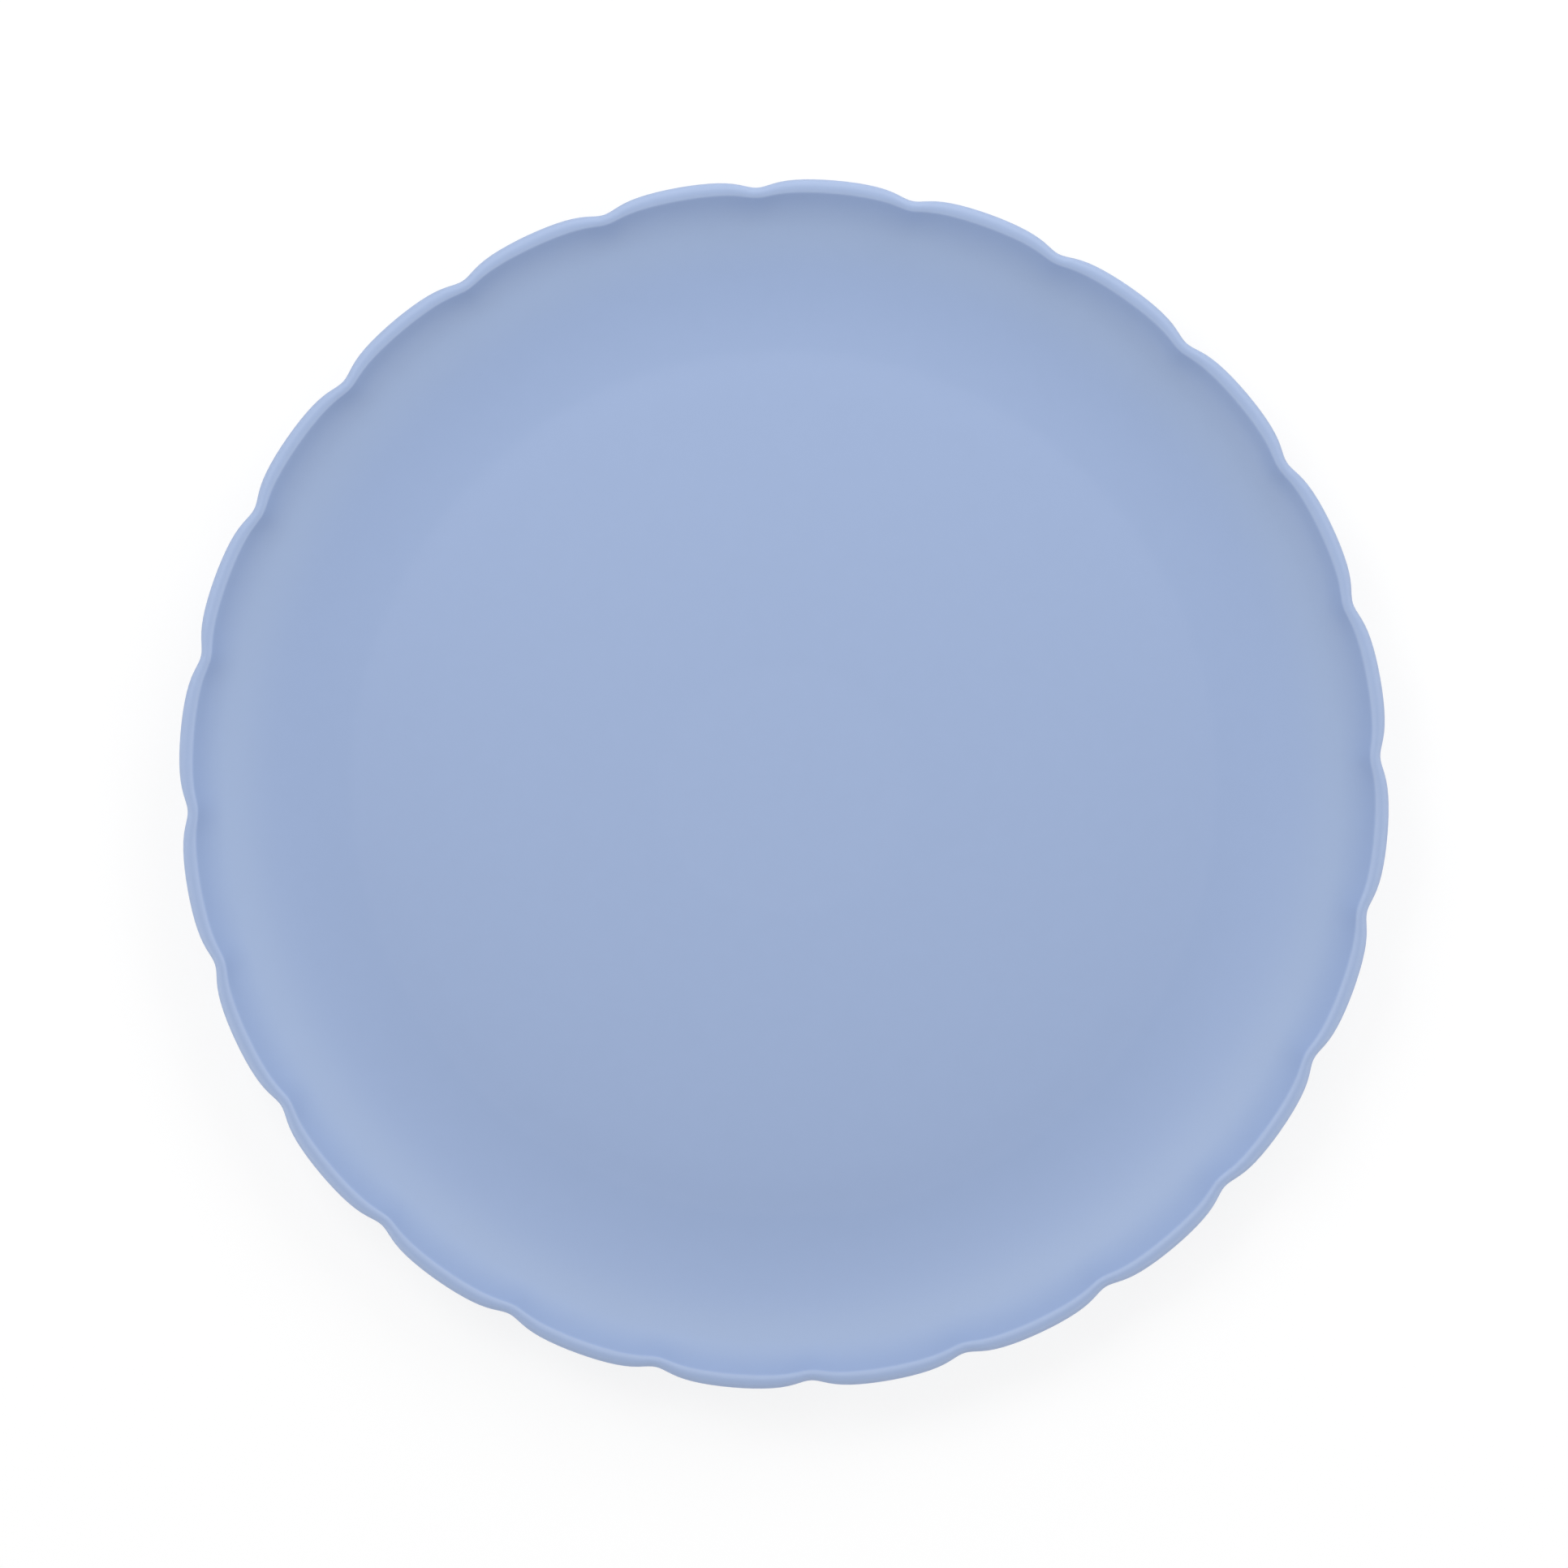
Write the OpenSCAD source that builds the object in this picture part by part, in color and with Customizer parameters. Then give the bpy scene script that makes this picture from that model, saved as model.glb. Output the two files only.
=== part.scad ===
// Round dinner plate with a scalloped rim, moulded in one piece.
// Z is the plate's axis, and the foot ring stands on z = 0. Sizes are in millimetres.

/* [Plate] */
// Diameter over the tips of the lobes
plate_d = 250; // [180:1:320]
// Height from the resting face to the top of the lip
plate_h = 17; // [14:0.5:20]
// Thickness of the floor and of the wall
wall_t = 2.4; // [1.6:0.1:3.2]

/* [Rim] */
// Width of the sloping rim, from the lobe tips to the flat well
rim_w = 35; // [24:0.5:50]
// Width of the steep outer band of the rim, from the lobe tips to the crease
band_w = 6; // [4.5:0.1:9]
// Slope of the steep band in degrees
band_slope = 56; // [48:1:60]
// How much thicker the round lip is than the wall
lip_over = 0.9; // [0.2:0.1:1.2]
// Width of the flat shoulder between the band and the round of the lip
shoulder_w = 0.4; // [0.2:0.1:1.2]
// Slope of the shoulder in degrees
shoulder_slope = 27; // [15:1:40]

/* [Scallops] */
// Number of lobes round the rim
lobes = 24; // [12:1:36]
// Depth of the notches between the lobes
notch_depth = 1.8; // [0.4:0.1:2.6]
// Narrowness of the notches, from wide waves to small nicks
notch_narrow = 0.42; // [0.2:0.02:0.6]
// Reach of the notches down the wall from the lobe tips
notch_reach = 9.4; // [6:0.2:14]

/* [Underside] */
// Distance from the edge of the well to the middle of the foot ring
foot_inset = 2.4; // [2:0.1:12]
// Width of the foot ring's resting face
foot_w = 2; // [1:0.1:3]
// Height of the foot ring below the floor
foot_h = 1.8; // [1:0.1:3]
// Draft of the foot ring's sides in degrees
foot_draft = 15; // [2:1:20]
// Diameter of the shallow round recess in the middle
recess_d = 52; // [20:1:80]
// Depth of the recess, which has sides at 45 degrees
recess_depth = 0.4; // [0.2:0.1:0.8]

/* [Hidden] */
$fn = 96;
plate_colour = [0.62, 0.70, 0.83];

// Steps round one lobe, along the wall's arc, and round the lip from one stop to the next
lobe_steps = 8;
wall_steps = 5;
shoulder_steps = 1;
lip_steps = 3;
// How much closer the steps lie at a notch than they would if even
crowding = 0.5;
// How softly the notches fade out down the wall
fade_power = 1.2;

tip_r = plate_d / 2;
well_r = tip_r - rim_w;
well_z = foot_h + wall_t;
foot_r = well_r - foot_inset;
lip_r = (wall_t + lip_over) / 2;
lip_centre = [tip_r - lip_r, plate_h - lip_r];

// The inner edge of the lip, where the band's upper face meets the shoulder
lip_edge = lip_centre + lip_r * [-sin(shoulder_slope), cos(shoulder_slope)]
    - shoulder_w * [1, tan(shoulder_slope)];

// The crease, where the wall's arc meets the band
crease_r = tip_r - band_w;
crease_z = lip_edge.y - (lip_edge.x - crease_r) * tan(band_slope);

// The wall's arc, which leaves the well level and climbs to the crease
wall_slope = 2 * atan((crease_z - well_z) / (crease_r - well_r));
wall_r = (crease_r - well_r) / sin(wall_slope);
wall_centre = [well_r, well_z + wall_r];

// The crease on the underside, a mitre that keeps the wall's thickness
mitre_slope = (wall_slope + band_slope) / 2;
mitre_t = wall_t / cos((band_slope - wall_slope) / 2);
under_crease = [crease_r, crease_z] + mitre_t * [sin(mitre_slope), -cos(mitre_slope)];

// Angles round the lip where the shoulder and the band's lower face run into it
lip_start = 90 + shoulder_slope;
under_face = wall_t - [-sin(band_slope), cos(band_slope)] * (lip_edge - lip_centre);
lip_end = band_slope - 90 - acos(under_face / lip_r);

// Points along an arc, after its start and up to its end
function arc(centre, r, start, end, steps) =
    [for (i = [1 : steps]) let (a = start + (end - start) * i / steps) centre + r * [cos(a), sin(a)]];

// Half the plate's section as [radius, height], from the well over the lip to the underside
section = concat(
    [[well_r, well_z]],
    arc(wall_centre, wall_r, -90, wall_slope - 90, wall_steps),
    [lip_edge, lip_centre + lip_r * [cos(lip_start), sin(lip_start)]],
    arc(lip_centre, lip_r, lip_start, 90, shoulder_steps),
    arc(lip_centre, lip_r, 90, 0, lip_steps),
    arc(lip_centre, lip_r, 0, lip_end, lip_steps),
    [under_crease],
    arc(wall_centre, wall_r + wall_t, wall_slope - 90, -90, wall_steps)
);

// Depth of the scallop at an angle, from 0 at a lobe tip to 1 at a notch
function kernel(x) = 1 / (1 + 2 * notch_narrow * cos(x) + pow(notch_narrow, 2));
function notch(a) = (kernel(lobes * a) - kernel(0)) / (kernel(180) - kernel(0));

// Radius of a section point at an angle: the notches draw in what is near the edge
function fade(r) = pow(max(0, r - tip_r + notch_reach) / notch_reach, fade_power);
function scalloped_r(r, a) = r - notch_depth * fade(r) * notch(a);

// Angle of a step round the plate
steps = lobes * lobe_steps;
function step_angle(i) = 360 / steps * i + crowding * 180 / PI / lobes * sin(360 * i / lobe_steps);

module shell() {
    rings = len(section);
    top = steps * rings;
    bottom = top + 1;
    function at(i, k) = (i % steps) * rings + k;

    points = [
        for (i = [0 : steps - 1])
            let (a = step_angle(i))
                for (p = section)
                    let (r = scalloped_r(p.x, a))
                        [r * cos(a), r * sin(a), p.y],
        [0, 0, well_z],
        [0, 0, foot_h]
    ];
    faces = [
        for (i = [0 : steps - 1])
            each [
                [top, at(i + 1, 0), at(i, 0)],
                for (k = [0 : rings - 2])
                    each [
                        [at(i, k), at(i + 1, k), at(i + 1, k + 1)],
                        [at(i, k), at(i + 1, k + 1), at(i, k + 1)]
                    ],
                [bottom, at(i, rings - 1), at(i + 1, rings - 1)]
            ]
    ];
    polyhedron(points, faces);
}

// The ring's sides run up into the floor, to half its thickness
module foot_ring() {
    top_z = foot_h + wall_t / 2;
    spread = top_z * tan(foot_draft);
    rotate_extrude()
        polygon([
            [foot_r - foot_w / 2, 0],
            [foot_r + foot_w / 2, 0],
            [foot_r + foot_w / 2 + spread, top_z],
            [foot_r - foot_w / 2 - spread, top_z]
        ]);
}

// The cutter starts level with the resting face, clear of the foot ring
module recess() {
    cylinder(h = foot_h + recess_depth, d1 = recess_d + 2 * foot_h, d2 = recess_d - 2 * recess_depth);
}

module plate() {
    color(plate_colour)
        difference() {
            union() {
                shell();
                foot_ring();
            }
            recess();
        }
}

plate();
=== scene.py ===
"""Scalloped plastic plate: a fine mesh of the moulding, its matte plastic, and the studio around it."""
import math

import bpy
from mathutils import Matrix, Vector


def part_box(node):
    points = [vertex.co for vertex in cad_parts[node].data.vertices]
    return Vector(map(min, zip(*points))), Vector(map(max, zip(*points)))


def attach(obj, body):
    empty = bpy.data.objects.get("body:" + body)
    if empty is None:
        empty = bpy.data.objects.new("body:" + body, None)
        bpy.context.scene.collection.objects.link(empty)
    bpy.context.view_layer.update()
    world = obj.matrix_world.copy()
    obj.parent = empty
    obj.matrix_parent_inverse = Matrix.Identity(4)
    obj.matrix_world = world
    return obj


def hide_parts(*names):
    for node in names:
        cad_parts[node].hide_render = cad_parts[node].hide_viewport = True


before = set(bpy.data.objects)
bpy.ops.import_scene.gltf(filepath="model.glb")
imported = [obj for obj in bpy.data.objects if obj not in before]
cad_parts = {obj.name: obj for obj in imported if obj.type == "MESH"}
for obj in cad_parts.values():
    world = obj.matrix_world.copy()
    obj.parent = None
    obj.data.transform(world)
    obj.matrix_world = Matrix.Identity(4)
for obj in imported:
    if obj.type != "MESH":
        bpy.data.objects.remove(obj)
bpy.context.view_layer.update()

# Sizes of the moulding, in metres, as in the part's source
TIP_R, _, PLATE_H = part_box("plate")[1]
WALL_T = 0.0024
RIM_W = 0.035
BAND_W = 0.006
BAND_SLOPE = math.radians(56)
LIP_OVER = 0.0009
SHOULDER_W = 0.0004
SHOULDER_SLOPE = math.radians(27)
LOBES = 24
NOTCH_DEPTH = 0.0018
NOTCH_NARROW = 0.42
NOTCH_REACH = 0.0094
FADE_POWER = 1.2
FOOT_INSET = 0.0024
FOOT_W = 0.002
FOOT_H = 0.0018
FOOT_DRAFT = math.radians(15)
RECESS_R = 0.026
RECESS_DEPTH = 0.0004

# Small roundings and marks of the mould
CREASE_ROUND = 0.015
LIP_EDGE_ROUND = 0.0004
LIP_FILLET = 0.001
FOOT_EDGE_ROUND = 0.0004
FOOT_FILLET = 0.0006
RECESS_ROUND = 0.0003
GATE_R = 0.0022
GATE_H = 0.00025
GUTTER_R = 0.0885
GUTTER_W = 0.004
GUTTER_DEPTH = 0.0001
SINK_W = 0.0012
SINK_DEPTH = 0.00006

# Painted light, from 0 to 1: a painted highlight along the lip, faint painted light on the well and more
# over its middle, and a painted lit band high on the wall
CREST_PAINTED_HIGHLIGHT = 0.45
HIGHLIGHT_TURN = math.radians(30)
LIP_FADE = 0.0001
WELL_PAINTED_LIGHT = 0.165
WELL_FADE = 0.0008
MIDDLE_PAINTED_LIGHT = 0.06
WALL_PAINTED_LIGHT_LEVEL = 0.42
WALL_LIGHT_R = 0.1145
WALL_LIGHT_W = 0.006

# Fineness of the mesh
LOBE_STEPS = 22
CROWDING = 0.5
CHORD_ERROR = 0.000006
LIP_TURN = math.radians(10)
CORNER_TURN = math.radians(15)
WELL_RING = 0.006
FINE_RING = 0.001
LIP_RING = 0.0002

# Sizes that follow from those above
WELL_R = TIP_R - RIM_W
WELL_Z = FOOT_H + WALL_T
FOOT_R = WELL_R - FOOT_INSET
LIP_R = (WALL_T + LIP_OVER) / 2
LIP_CENTRE = Vector((TIP_R - LIP_R, PLATE_H - LIP_R))
CREASE_R = TIP_R - BAND_W
LIP_W = LIP_R * (1 + math.sin(SHOULDER_SLOPE)) + SHOULDER_W
LIP_HIGHLIGHT_R = TIP_R - LIP_W - 2 * LIP_FADE
STEPS = LOBES * LOBE_STEPS

# Colours of the plastic: as moulded; paler where the foot ring is rubbed and where light is painted on
# the lip and well; and paler in the painted lit band on the wall
PLASTIC = (0.326, 0.4275, 0.655)
WEAR_AND_PAINTED_LIGHT_COLOUR = (0.385, 0.486, 0.71)
WALL_PAINTED_LIGHT_COLOUR = (0.385, 0.486, 0.675)

# Grain and mottling of the plastic
GRAIN_SCALE = 1000
GRAIN_DETAIL = 2
GRAIN_DEPTH = 0.000012
MOTTLE_SCALE = 300
MOTTLE_DETAIL = 3
MOTTLE_VALUE = (0.996, 1.004)
ROUGHNESS = (0.51, 0.55)
NOISE_SPAN = (0.3, 0.7)

# The photograph: its width in pixels, the plate's width in it, and how far the plate is turned
PHOTO_PX = 1932
PLATE_PX = 1492.5
PHOTO_TURN = math.radians(4.9)
LENS_MM = 180

# The studio, in metres: a floor just below the plate, seen brighter than it is, and a dome of light
FLOOR_SIZE = 1.2
FLOOR_GAP = 0.00005
FLOOR_COLOUR = 0.8
FLOOR_SEEN = 0.2
FLOOR_GLOW = 0.82
DOME = 0.28

# Soft boxes: direction from the photograph's right side and height, both in degrees, and power
LAMP_DISTANCE = 1
LAMP_WIDTH = 0.5
LAMPS = {
    "right": (0, 42, 1.43),
    "up_right": (60, 42, 2.87),
    "up": (90, 26, 1.32),
    "up_left": (135, 54, 3.6),
    "low_left": (210, 14, 1.98),
    "lowest_left": (210, 7, 0.95),
    "low_down_right": (300, 14, 1.56),
    "lowest_right": (330, 7, 1.21),
}


# Paths in the section plane

def along(angle):
    """Unit vector in the section plane at an angle from the radial direction."""
    return Vector((math.cos(angle), math.sin(angle)))


def arc(centre, radius, start, end, most_turn=LIP_TURN):
    """Points along an arc, both ends included."""
    step = min(most_turn, 2 * math.acos(1 - CHORD_ERROR / radius))
    count = max(2, math.ceil(abs(end - start) / step))
    return [centre + radius * along(start + (end - start) * i / count) for i in range(count + 1)]


def rounded(corners):
    """A path through (radius, height, rounding) corners, with an arc for each but the ends."""
    path = [Vector(corners[0][:2])]
    for before, corner, after in zip(corners, corners[1:], corners[2:]):
        here = Vector(corner[:2])
        back = (Vector(before[:2]) - here).normalized()
        ahead = (Vector(after[:2]) - here).normalized()
        half = back.angle(ahead) / 2
        reach = corner[2] / math.tan(half)
        centre = here + (back + ahead).normalized() * corner[2] / math.sin(half)
        first = here + back * reach - centre
        last = here + ahead * reach - centre
        start = math.atan2(first.y, first.x)
        turn = math.remainder(math.atan2(last.y, last.x) - start, math.tau)
        path += arc(centre, corner[2], start, start + turn, CORNER_TURN)
    path.append(Vector(corners[-1][:2]))
    return path[:1] + [b for a, b in zip(path, path[1:]) if (b - a).length > CHORD_ERROR]


def subdivided(path, spacing, start=0, end=math.inf):
    """The path with its stretches between two radii cut into pieces no longer than the spacing."""
    dense = [path[0]]
    for a, b in zip(path, path[1:]):
        inside = start < (a.x + b.x) / 2 < end
        count = math.ceil((b - a).length / spacing) if inside else 1
        dense += [a.lerp(b, i / count) for i in range(1, count + 1)]
    return dense


# The plate's section

def foot_and_recess(edge):
    """The underside from the edge of the well inwards: foot ring, recess and gate mark."""
    draft = FOOT_H * math.tan(FOOT_DRAFT)
    recess_z = FOOT_H + RECESS_DEPTH
    return rounded([
        edge,
        (FOOT_R + FOOT_W / 2 + draft, FOOT_H, FOOT_FILLET),
        (FOOT_R + FOOT_W / 2, 0, FOOT_EDGE_ROUND),
        (FOOT_R - FOOT_W / 2, 0, FOOT_EDGE_ROUND),
        (FOOT_R - FOOT_W / 2 - draft, FOOT_H, FOOT_FILLET),
        (RECESS_R, FOOT_H, RECESS_ROUND),
        (RECESS_R - RECESS_DEPTH, recess_z, RECESS_ROUND),
        (GATE_R + GATE_H, recess_z, GATE_H / 2),
        (GATE_R, recess_z - GATE_H, GATE_H / 2),
        (0, recess_z - GATE_H),
    ])


def plate_section():
    """Half the section as paths of (radius, height): the upper face, the lip and the underside."""
    up_band = along(BAND_SLOPE)
    normal = along(BAND_SLOPE + math.pi / 2)
    lip_start = math.pi / 2 + SHOULDER_SLOPE
    lip_top = LIP_CENTRE + LIP_R * along(lip_start)
    lip_edge = lip_top - SHOULDER_W * Vector((1, math.tan(SHOULDER_SLOPE)))

    # The wall's arc leaves the well level and heads for the crease
    crease = Vector((CREASE_R, lip_edge.y - (lip_edge.x - CREASE_R) * math.tan(BAND_SLOPE)))
    wall_slope = 2 * math.atan((crease.y - WELL_Z) / (CREASE_R - WELL_R))
    wall_round = (CREASE_R - WELL_R) / math.sin(wall_slope)
    wall_centre = Vector((WELL_R, WELL_Z + wall_round))

    # A tighter arc, inside the wall's own and touching the band, rounds the crease
    across = crease + normal * CREASE_ROUND - wall_centre
    slide = -across.dot(up_band)
    slide -= math.sqrt(slide ** 2 - across.length_squared + (wall_round - CREASE_ROUND) ** 2)
    crease_centre = wall_centre + across + up_band * slide
    joint = math.atan2(crease_centre.y - wall_centre.y, crease_centre.x - wall_centre.x)
    to_band = BAND_SLOPE - math.pi / 2

    upper_face = [Vector((0, WELL_Z))]
    upper_face += arc(wall_centre, wall_round, -math.pi / 2, joint)
    upper_face += arc(crease_centre, CREASE_ROUND, joint, to_band)[1:]
    upper_face += rounded([upper_face[-1], (*lip_edge, LIP_EDGE_ROUND), lip_top])[1:]

    # A fillet joins the lip to the band's lower face
    under_face = WALL_T - normal.dot(lip_edge - LIP_CENTRE)
    back = math.sqrt((LIP_R + LIP_FILLET) ** 2 - (under_face + LIP_FILLET) ** 2)
    fillet = LIP_CENTRE - normal * (under_face + LIP_FILLET) - up_band * back
    lip_end = math.atan2(fillet.y - LIP_CENTRE.y, fillet.x - LIP_CENTRE.x)
    lip = arc(LIP_CENTRE, LIP_R, lip_start, lip_end)
    lip += arc(fillet, LIP_FILLET, lip_end + math.pi, to_band + math.pi)[1:]

    underside = lip[-1:] + arc(crease_centre, CREASE_ROUND + WALL_T, to_band, joint)
    underside += arc(wall_centre, wall_round + WALL_T, joint, -math.pi / 2)[1:]
    underside += foot_and_recess(underside[-1])[1:]
    return subdivided(upper_face, WELL_RING), lip, subdivided(underside, WELL_RING)


def step_down(r, middle, width):
    """A soft step from 1 inside a radius to 0 outside it."""
    return (1 - math.tanh((r - middle) / width)) / 2


def relief(r):
    """Height of the faint marks in the well: a gutter at its edge, and a middle sunk over the recess."""
    gutter = GUTTER_DEPTH * math.exp(-(((r - GUTTER_R) / GUTTER_W) ** 2))
    return -gutter - SINK_DEPTH * step_down(r, RECESS_R, SINK_W)


def finished(path):
    """The upper face with its faint marks, and with finer steps where it has marks or painted light."""
    path = subdivided(path, FINE_RING, RECESS_R - 3 * SINK_W, RECESS_R + 3 * SINK_W)
    path = subdivided(path, FINE_RING, GUTTER_R - 2 * GUTTER_W, GUTTER_R + 2 * GUTTER_W)
    path = subdivided(path, FINE_RING, CREASE_R)
    path = subdivided(path, LIP_RING, LIP_HIGHLIGHT_R - 4 * LIP_FADE)
    return [Vector((p.x, p.y + relief(p.x))) for p in path]


# Wear and painted light at a point of the section

def top_painted_light(p):
    """How much painted light the upper face has: a full painted highlight along the lip, faint painted
    light on the well and a little more over its middle.
    """
    well = WELL_PAINTED_LIGHT * step_down(p.x, WELL_R, WELL_FADE)
    middle = MIDDLE_PAINTED_LIGHT * step_down(p.x, RECESS_R, SINK_W)
    return well + middle + 1 - step_down(p.x, LIP_HIGHLIGHT_R, LIP_FADE)


def lip_painted_highlight(p):
    """How much painted highlight the lip has: least on its crest, most on its shoulders, none below."""
    angle = math.atan2(p.y - LIP_CENTRE.y, p.x - LIP_CENTRE.x)
    turn = abs(angle - math.pi / 2) / HIGHLIGHT_TURN
    return CREST_PAINTED_HIGHLIGHT + (1 - CREST_PAINTED_HIGHLIGHT) * min(1, turn) if angle > 0 else 0.0


def foot_wear(p):
    """How much the underside is rubbed: only where the foot ring rests."""
    return 1.0 if p.y < FOOT_EDGE_ROUND else 0.0


def wall_painted_light(p):
    """How much painted light the wall has, in a band high on it."""
    return WALL_PAINTED_LIGHT_LEVEL * math.exp(-(((p.x - WALL_LIGHT_R) / WALL_LIGHT_W) ** 2))


# The plate's mesh

def notch(angle):
    """Depth of the scallop at an angle, from 0 at a lobe tip to 1 at a notch."""
    def kernel(x):
        return 1 / (1 + 2 * NOTCH_NARROW * math.cos(x) + NOTCH_NARROW ** 2)
    return (kernel(LOBES * angle) - kernel(0)) / (kernel(math.pi) - kernel(0))


def step_angle(i):
    """Angle of a step round the plate. The steps lie closer at the notches."""
    return math.tau * i / STEPS + CROWDING / LOBES * math.sin(math.tau * i / LOBE_STEPS)


def scalloped(rings):
    """Points of the rings, one ring after another, drawn in at the notches near the edge."""
    angles = [step_angle(i) for i in range(STEPS)]
    pulls = [NOTCH_DEPTH * notch(a) for a in angles]
    points = []
    for p in rings:
        fade = (max(0, p.x - TIP_R + NOTCH_REACH) / NOTCH_REACH) ** FADE_POWER
        for a, pull in zip(angles, pulls):
            r = p.x - fade * pull
            points.append((r * math.cos(a), r * math.sin(a), p.y))
    return points


def shell_faces(ring_count):
    """Faces between the rings, closed by a fan to the point after them and one to the next."""
    top = ring_count * STEPS
    last = top - STEPS
    faces = []
    for i in range(STEPS):
        j = (i + 1) % STEPS
        faces.append((top, i, j))
        for k in range(0, last, STEPS):
            faces.append((k + i, k + STEPS + i, k + STEPS + j, k + j))
        faces.append((top + 1, last + j, last + i))
    return faces


def add_mark(mesh, name, levels, middle):
    """A point attribute with a level for each ring, and one for the middle of the upper face."""
    values = [level for level in levels for _ in range(STEPS)] + [middle, 0.0]
    mesh.attributes.new(name, "FLOAT", "POINT").data.foreach_set("value", values)


def make_plate():
    """The plate as one closed mesh, with attributes for painted light at each point, and for wear on the
    foot ring.
    """
    upper_face, lip, underside = plate_section()
    upper_face = finished(upper_face)
    rings = upper_face[1:] + lip[1:] + underside[1:-1]
    middles = [(0, 0, upper_face[0].y), (0, 0, underside[-1].y)]
    mesh = bpy.data.meshes.new("plate_shell")
    mesh.from_pydata(scalloped(rings) + middles, [], shell_faces(len(rings)))
    mesh.shade_smooth()

    # The first attribute holds painted light on the upper face and lip, and real wear on the foot ring;
    # the second holds a painted lit band on the wall.
    wear_and_painted_light = [top_painted_light(p) for p in upper_face[1:]]
    wear_and_painted_light += [lip_painted_highlight(p) for p in lip[1:]]
    wear_and_painted_light += [foot_wear(p) for p in underside[1:-1]]
    painted_wall_light = [wall_painted_light(p) for p in upper_face[1:]]
    painted_wall_light += [0.0] * (len(rings) - len(painted_wall_light))
    add_mark(mesh, "wear_and_painted_light", wear_and_painted_light, WELL_PAINTED_LIGHT + MIDDLE_PAINTED_LIGHT)
    add_mark(mesh, "painted_wall_light", painted_wall_light, 0.0)

    shell = bpy.data.objects.new("plate_shell", mesh)
    bpy.context.collection.objects.link(shell)
    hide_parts("plate")
    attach(shell, "root")
    return shell


# The plastic

def plastic():
    """Matte light blue plastic with a fine grain, faint mottling, a rubbed foot ring, and painted light
    on the lip, well and wall.
    """
    material = bpy.data.materials.new("plate_plastic")
    material.use_nodes = True
    nodes, links = material.node_tree.nodes, material.node_tree.links
    shader = nodes["Principled BSDF"]
    place = nodes.new("ShaderNodeTexCoord").outputs["Object"]

    def noise(scale, detail):
        node = nodes.new("ShaderNodeTexNoise")
        node.inputs["Scale"].default_value = scale
        node.inputs["Detail"].default_value = detail
        links.new(place, node.inputs["Vector"])
        return node.outputs["Fac"]

    def remap(value, span):
        node = nodes.new("ShaderNodeMapRange")
        node.inputs["From Min"].default_value, node.inputs["From Max"].default_value = NOISE_SPAN
        node.inputs["To Min"].default_value, node.inputs["To Max"].default_value = span
        links.new(value, node.inputs["Value"])
        return node.outputs["Result"]

    def tinted_by(mark, colour):
        node = nodes.new("ShaderNodeMix")
        node.data_type = "RGBA"
        node.inputs["A"].default_value = (*PLASTIC, 1)
        node.inputs["B"].default_value = (*colour, 1)
        amount = nodes.new("ShaderNodeAttribute")
        amount.attribute_name = mark
        links.new(amount.outputs["Fac"], node.inputs["Factor"])
        return node

    grain = noise(GRAIN_SCALE, GRAIN_DETAIL)
    mottle = noise(MOTTLE_SCALE, MOTTLE_DETAIL)
    # Paler colours mixed in: painted highlight on the lip, painted light on the well and wall, and wear
    # on the foot ring.
    wear_and_light_mix = tinted_by("wear_and_painted_light", WEAR_AND_PAINTED_LIGHT_COLOUR)
    wall_light_mix = tinted_by("painted_wall_light", WALL_PAINTED_LIGHT_COLOUR)
    links.new(wear_and_light_mix.outputs["Result"], wall_light_mix.inputs["A"])
    tint = nodes.new("ShaderNodeHueSaturation")
    links.new(wall_light_mix.outputs["Result"], tint.inputs["Color"])
    links.new(remap(mottle, MOTTLE_VALUE), tint.inputs["Value"])
    links.new(tint.outputs["Color"], shader.inputs["Base Color"])
    links.new(remap(mottle, ROUGHNESS), shader.inputs["Roughness"])
    bump = nodes.new("ShaderNodeBump")
    bump.inputs["Distance"].default_value = GRAIN_DEPTH
    links.new(grain, bump.inputs["Height"])
    links.new(bump.outputs["Normal"], shader.inputs["Normal"])
    return material


# The studio

def pale_floor():
    """A pale floor, seen as white but for the plate's soft shadow."""
    material = bpy.data.materials.new("floor")
    material.use_nodes = True
    nodes, links = material.node_tree.nodes, material.node_tree.links
    nodes.clear()
    seen = nodes.new("ShaderNodeLightPath").outputs["Is Camera Ray"]
    shade = nodes.new("ShaderNodeMix")
    shade.data_type = "RGBA"
    shade.inputs["A"].default_value = (FLOOR_COLOUR, FLOOR_COLOUR, FLOOR_COLOUR, 1)
    shade.inputs["B"].default_value = (FLOOR_SEEN, FLOOR_SEEN, FLOOR_SEEN, 1)
    links.new(seen, shade.inputs["Factor"])
    diffuse = nodes.new("ShaderNodeBsdfDiffuse")
    links.new(shade.outputs["Result"], diffuse.inputs["Color"])
    glow = nodes.new("ShaderNodeEmission")
    level = nodes.new("ShaderNodeMath")
    level.operation = "MULTIPLY"
    level.inputs[1].default_value = FLOOR_GLOW
    links.new(seen, level.inputs[0])
    links.new(level.outputs["Value"], glow.inputs["Strength"])
    both = nodes.new("ShaderNodeAddShader")
    links.new(diffuse.outputs["BSDF"], both.inputs[0])
    links.new(glow.outputs["Emission"], both.inputs[1])
    output = nodes.new("ShaderNodeOutputMaterial")
    links.new(both.outputs["Shader"], output.inputs["Surface"])
    return material


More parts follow.
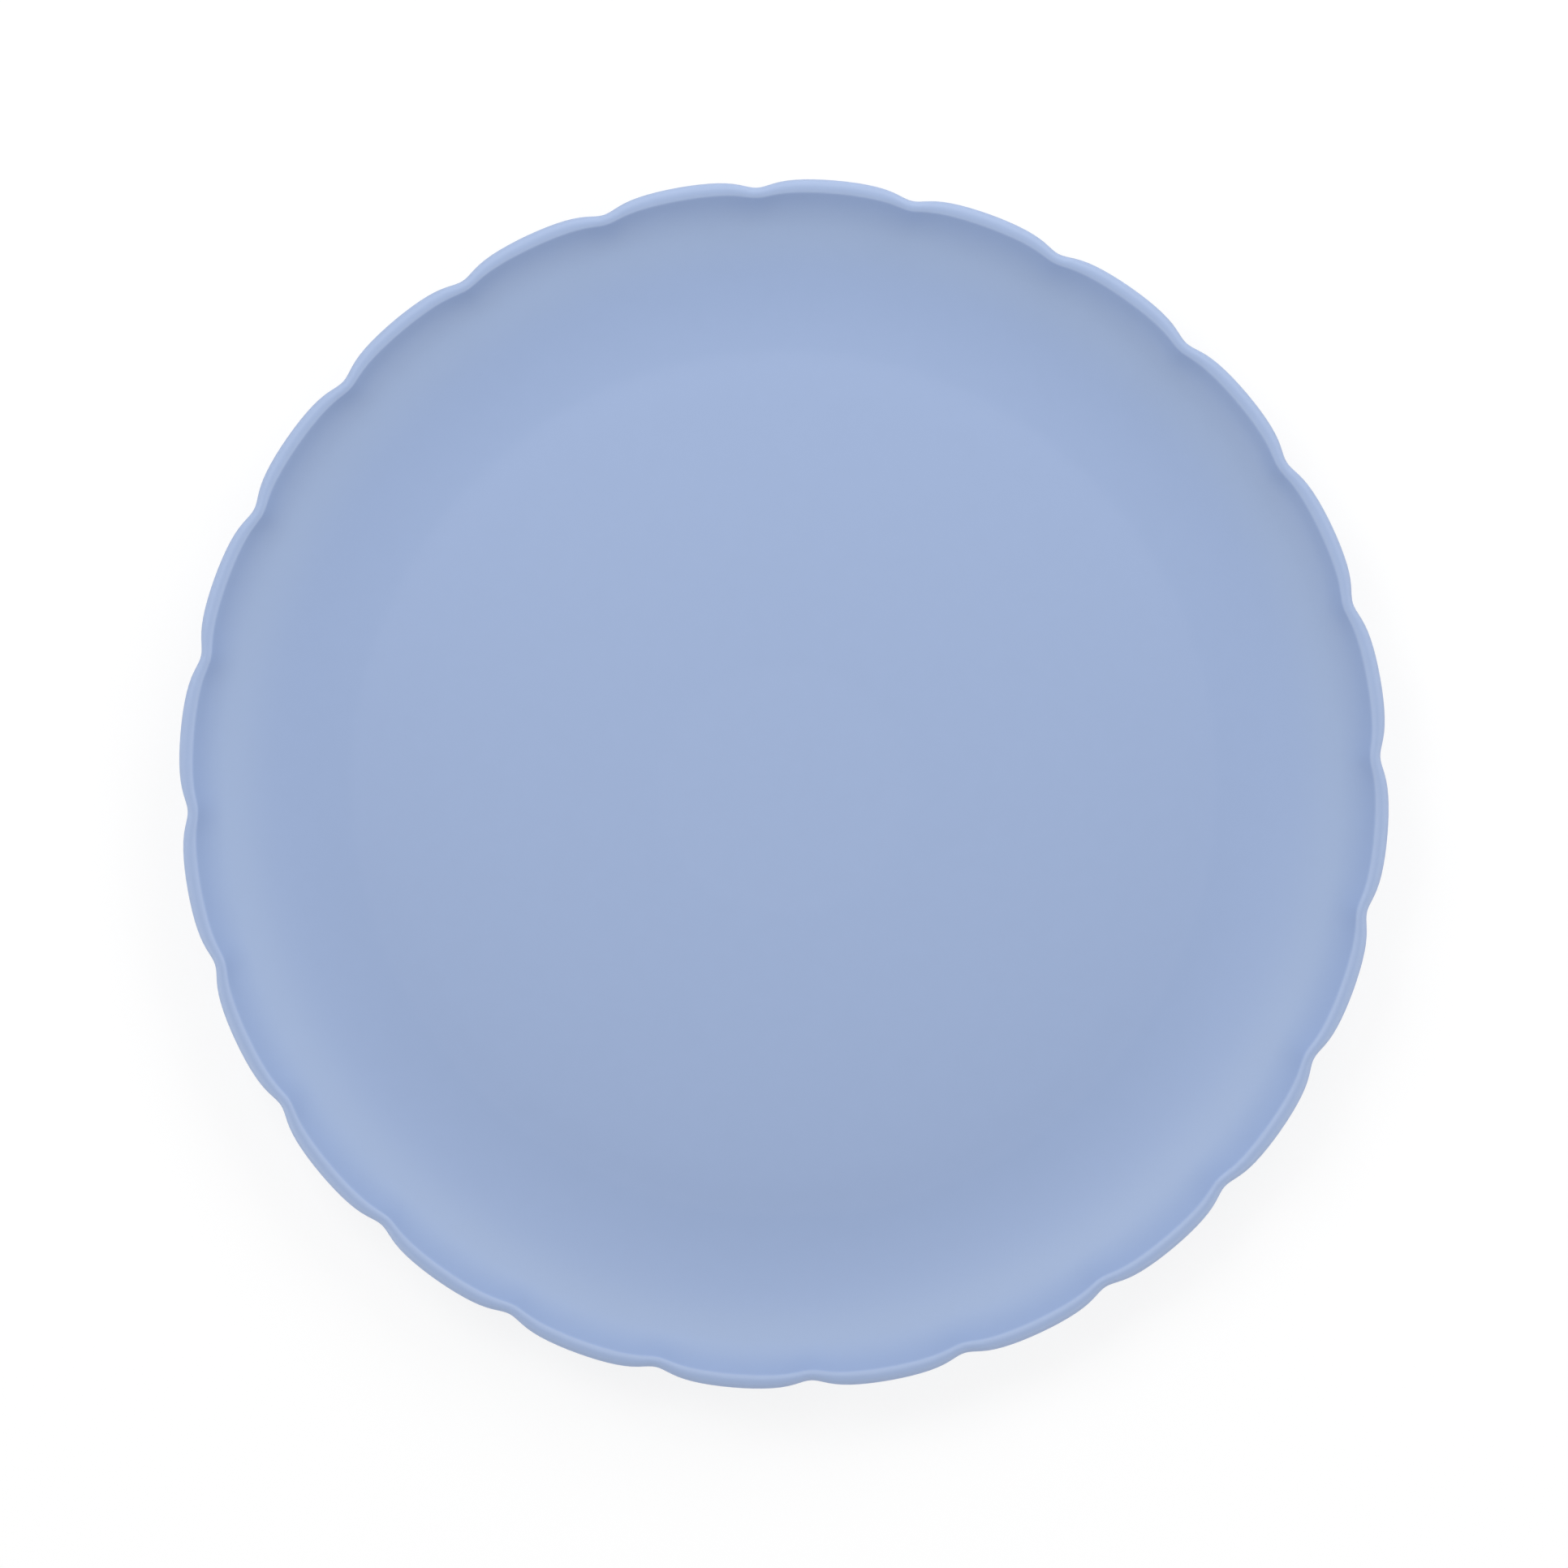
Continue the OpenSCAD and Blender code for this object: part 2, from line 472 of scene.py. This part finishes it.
def make_floor():
    """A square floor, a hair below the foot ring."""
    half = FLOOR_SIZE / 2
    corners = [(-half, -half), (half, -half), (half, half), (-half, half)]
    mesh = bpy.data.meshes.new("floor")
    mesh.from_pydata([(x, y, -FLOOR_GAP) for x, y in corners], [], [(0, 1, 2, 3)])
    floor = bpy.data.objects.new("floor", mesh)
    floor.data.materials.append(pale_floor())
    bpy.context.collection.objects.link(floor)


def make_world():
    """A soft even dome, which the camera sees as white."""
    world = bpy.data.worlds.new("studio")
    bpy.context.scene.world = world
    world.use_nodes = True
    nodes, links = world.node_tree.nodes, world.node_tree.links
    level = nodes.new("ShaderNodeMapRange")
    level.inputs["To Min"].default_value = DOME
    level.inputs["To Max"].default_value = 1
    links.new(nodes.new("ShaderNodeLightPath").outputs["Is Camera Ray"], level.inputs["Value"])
    background = nodes["Background"]
    background.inputs["Color"].default_value = (1, 1, 1, 1)
    links.new(level.outputs["Result"], background.inputs["Strength"])


def make_lamp(name, direction, height, power):
    """A soft box that faces the plate, no taller than clears the floor."""
    turn = math.radians(direction) + PHOTO_TURN
    rise = math.radians(height)
    aim = Vector((math.cos(rise) * math.cos(turn), math.cos(rise) * math.sin(turn), math.sin(rise)))
    light = bpy.data.lights.new(name, "AREA")
    light.shape = "RECTANGLE"
    light.size = LAMP_WIDTH
    light.size_y = min(LAMP_WIDTH, 2 * LAMP_DISTANCE * math.sin(rise))
    light.energy = power
    lamp = bpy.data.objects.new(name, light)
    lamp.location = aim * LAMP_DISTANCE
    lamp.rotation_euler = aim.to_track_quat("Z", "Y").to_euler()
    bpy.context.collection.objects.link(lamp)


def make_camera():
    """A long lens straight above the plate, turned as the photograph is."""
    camera = bpy.data.cameras.new("camera")
    camera.sensor_fit = "HORIZONTAL"
    camera.lens = LENS_MM
    view = bpy.data.objects.new("camera", camera)
    seen_width = 2 * TIP_R * PHOTO_PX / PLATE_PX
    view.location = (0, 0, LIP_CENTRE.y + seen_width * camera.lens / camera.sensor_width)
    view.rotation_euler = (0, 0, PHOTO_TURN)
    bpy.context.collection.objects.link(view)
    bpy.context.scene.camera = view


make_camera()
shell = make_plate()
shell.data.materials.append(plastic())
make_floor()
make_world()
for lamp_name, settings in LAMPS.items():
    make_lamp(lamp_name, *settings)
bpy.context.scene.view_settings.view_transform = "Standard"
